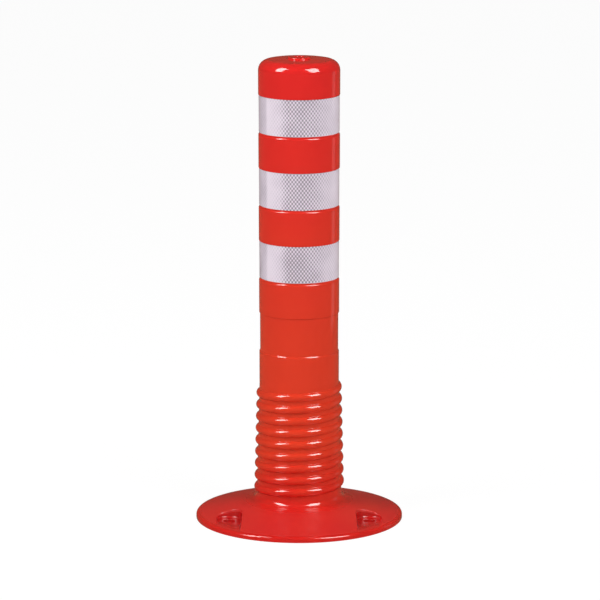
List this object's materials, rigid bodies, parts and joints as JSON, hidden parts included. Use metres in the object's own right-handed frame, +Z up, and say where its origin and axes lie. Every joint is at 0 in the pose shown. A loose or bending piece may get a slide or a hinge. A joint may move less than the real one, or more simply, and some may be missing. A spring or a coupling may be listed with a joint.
{
  "type": "delineator post",
  "caption": "Flexible road delineator post: round base flange with anchor slots, helical spring-back neck, hollow tube with reflective bands, rounded head with an eye.",
  "frame": {"origin": "centre of the flange's underside, on the ground", "axes": "+Z up along the post; -Y towards the front, the side between two anchor slots; +Y through the rear anchor slot"},
  "size_m": [0.2, 0.2, 0.45],
  "materials": {
    "moulding": "glossy flexible polyurethane, red-orange all the way through",
    "head": "glossy flexible polyurethane, the same red-orange",
    "sheeting": "clear-faced white micro-prismatic reflective sheeting"
  },
  "bodies": {
    "base": {"base_flange": "moulding"},
    "neck_1": {"neck_turn_1": "moulding"},
    "neck_2": {"neck_turn_2": "moulding"},
    "neck_3": {"neck_turn_3": "moulding"},
    "neck_4": {"neck_turn_4": "moulding"},
    "neck_5": {"neck_turn_5": "moulding"},
    "neck_6": {"neck_turn_6": "moulding"},
    "neck_7": {"neck_turn_7": "moulding"},
    "neck_8": {"neck_turn_8": "moulding"},
    "neck_9": {"neck_turn_9": "moulding"},
    "neck_10": {"neck_plain_1": "moulding"},
    "neck_11": {"neck_plain_2": "moulding"},
    "post": {"neck_plain_3": "moulding", "post_tube": "moulding", "head_cap": "head", "reflective_band_1": "sheeting", "reflective_band_2": "sheeting", "reflective_band_3": "sheeting"}
  },
  "joints": [
    {"name": "lean_sideways_1", "type": "hinge", "parent": "base", "child": "neck_1", "pos_m": [0, 0, 0.03414], "axis": [0, 1, 0], "range_deg": [-13, 13], "stiffness_Nm_per_rad": 72, "deforming": ["neck_turn_1"]},
    {"name": "lean_sideways_2", "type": "hinge", "parent": "neck_1", "child": "neck_2", "pos_m": [0, 0, 0.04562], "axis": [0, 1, 0], "range_deg": [-13, 13], "stiffness_Nm_per_rad": 72, "deforming": ["neck_turn_2"]},
    {"name": "lean_sideways_3", "type": "hinge", "parent": "neck_2", "child": "neck_3", "pos_m": [0, 0, 0.05711], "axis": [0, 1, 0], "range_deg": [-13, 13], "stiffness_Nm_per_rad": 72, "deforming": ["neck_turn_3"]},
    {"name": "lean_sideways_4", "type": "hinge", "parent": "neck_3", "child": "neck_4", "pos_m": [0, 0, 0.06859], "axis": [0, 1, 0], "range_deg": [-13, 13], "stiffness_Nm_per_rad": 72, "deforming": ["neck_turn_4"]},
    {"name": "lean_sideways_5", "type": "hinge", "parent": "neck_4", "child": "neck_5", "pos_m": [0, 0, 0.08007], "axis": [0, 1, 0], "range_deg": [-13, 13], "stiffness_Nm_per_rad": 72, "deforming": ["neck_turn_5"]},
    {"name": "lean_sideways_6", "type": "hinge", "parent": "neck_5", "child": "neck_6", "pos_m": [0, 0, 0.09156], "axis": [0, 1, 0], "range_deg": [-13, 13], "stiffness_Nm_per_rad": 72, "deforming": ["neck_turn_6"]},
    {"name": "lean_forward_1", "type": "hinge", "parent": "neck_6", "child": "neck_7", "pos_m": [0, 0, 0.10304], "axis": [1, 0, 0], "range_deg": [-13, 13], "stiffness_Nm_per_rad": 72, "deforming": ["neck_turn_7"]},
    {"name": "lean_forward_2", "type": "hinge", "parent": "neck_7", "child": "neck_8", "pos_m": [0, 0, 0.11453], "axis": [1, 0, 0], "range_deg": [-13, 13], "stiffness_Nm_per_rad": 72, "deforming": ["neck_turn_8"]},
    {"name": "lean_forward_3", "type": "hinge", "parent": "neck_8", "child": "neck_9", "pos_m": [0, 0, 0.12601], "axis": [1, 0, 0], "range_deg": [-13, 13], "stiffness_Nm_per_rad": 72, "deforming": ["neck_turn_9"]},
    {"name": "lean_forward_4", "type": "hinge", "parent": "neck_9", "child": "neck_10", "pos_m": [0, 0, 0.13749], "axis": [1, 0, 0], "range_deg": [-13, 13], "stiffness_Nm_per_rad": 72, "deforming": ["neck_plain_1"]},
    {"name": "lean_forward_5", "type": "hinge", "parent": "neck_10", "child": "neck_11", "pos_m": [0, 0, 0.14897], "axis": [1, 0, 0], "range_deg": [-13, 13], "stiffness_Nm_per_rad": 72, "deforming": ["neck_plain_2"]},
    {"name": "lean_forward_6", "type": "hinge", "parent": "neck_11", "child": "post", "pos_m": [0, 0, 0.16046], "axis": [1, 0, 0], "range_deg": [-13, 13], "stiffness_Nm_per_rad": 72, "deforming": ["neck_plain_3"]}
  ],
  "couplings": [
    {"joint": "lean_sideways_2", "follows": "lean_sideways_1", "ratio": 1},
    {"joint": "lean_sideways_3", "follows": "lean_sideways_1", "ratio": 1},
    {"joint": "lean_sideways_4", "follows": "lean_sideways_1", "ratio": 1},
    {"joint": "lean_sideways_5", "follows": "lean_sideways_1", "ratio": 1},
    {"joint": "lean_sideways_6", "follows": "lean_sideways_1", "ratio": 1},
    {"joint": "lean_forward_2", "follows": "lean_forward_1", "ratio": 1},
    {"joint": "lean_forward_3", "follows": "lean_forward_1", "ratio": 1},
    {"joint": "lean_forward_4", "follows": "lean_forward_1", "ratio": 1},
    {"joint": "lean_forward_5", "follows": "lean_forward_1", "ratio": 1},
    {"joint": "lean_forward_6", "follows": "lean_forward_1", "ratio": 1}
  ]
}
